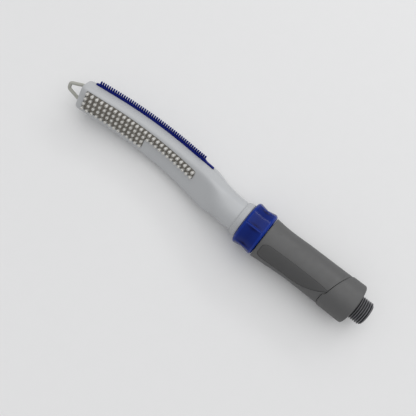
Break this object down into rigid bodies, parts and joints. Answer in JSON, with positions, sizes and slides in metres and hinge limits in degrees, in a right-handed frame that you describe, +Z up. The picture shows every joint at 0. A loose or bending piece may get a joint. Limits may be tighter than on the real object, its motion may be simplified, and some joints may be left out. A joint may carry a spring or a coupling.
{
  "type": "handheld pet bath sprayer",
  "caption": "Handheld pet bath sprayer: curved head with soft nozzle nubs, side comb and hanging loop, turning flow ring, and a grey handle ending in a hose thread.",
  "frame": {"origin": "bottom centre of the bounding box, lying on a table as at rest", "axes": "+X along the handle from the spray head's tip towards the hose thread, +Z up; the wand rests rolled by 45.9 degrees, so the nozzle face looks up and towards -Y and the comb up and towards +Y"},
  "size_m": [0.316, 0.0448, 0.0401],
  "materials": {
    "channel_tray": "natural white acetal",
    "comb_strip": "navy blue moulded plastic",
    "drive_pin": "ground stainless steel",
    "filter_screen": "stainless steel screen",
    "flow_ring": "glossy royal blue moulded plastic",
    "handle_barrel": "matte dark grey moulded plastic",
    "handle_end_cap": "matte dark grey moulded plastic",
    "hanging_loop": "soft warm grey thermoplastic elastomer",
    "head_back_shell": "satin grey moulded ABS",
    "head_front_shell": "satin grey moulded ABS",
    "head_o_ring": "black nitrile",
    "inlet_connector": "dark grey glass-filled nylon",
    "inlet_o_ring": "black nitrile",
    "inlet_washer": "black nitrile",
    "neck_collar": "satin grey moulded ABS",
    "nozzle_mat": "soft warm grey silicone",
    "nozzle_plate": "natural white acetal",
    "plate_gasket": "black nitrile",
    "ring_retainer": "spring steel",
    "rotor_o_ring": "black nitrile",
    "seat_gasket": "black nitrile",
    "thumb_grip_inlay": "matt soft-touch overmould",
    "tube_o_ring": "black nitrile",
    "valve_body": "natural white acetal",
    "valve_rotor": "natural white acetal",
    "valve_seat": "natural white acetal",
    "water_tube": "natural white acetal"
  },
  "bodies": {
    "wand": {"channel_tray": "channel_tray", "comb_strip": "comb_strip", "filter_screen": "filter_screen", "handle_barrel": "handle_barrel", "handle_end_cap": "handle_end_cap", "hanging_loop": "hanging_loop", "head_back_shell": "head_back_shell", "head_front_shell": "head_front_shell", "head_o_ring": "head_o_ring", "inlet_connector": "inlet_connector", "inlet_o_ring": "inlet_o_ring", "inlet_washer": "inlet_washer", "neck_collar": "neck_collar", "nozzle_mat": "nozzle_mat", "nozzle_plate": "nozzle_plate", "plate_gasket": "plate_gasket", "ring_retainer": "ring_retainer", "rotor_o_ring": "rotor_o_ring", "seat_gasket": "seat_gasket", "thumb_grip_inlay": "thumb_grip_inlay", "tube_o_ring": "tube_o_ring", "valve_body": "valve_body", "valve_seat": "valve_seat", "water_tube": "water_tube"},
    "dial": {"drive_pin": "drive_pin", "flow_ring": "flow_ring", "valve_rotor": "valve_rotor"}
  },
  "joints": [
    {"name": "flow_ring_turn", "type": "hinge", "parent": "wand", "child": "dial", "pos_m": [0.04597, -0.00285, 0.02044], "axis": [0.9997, 0, -0.0251], "range_deg": [0, 90]}
  ]
}
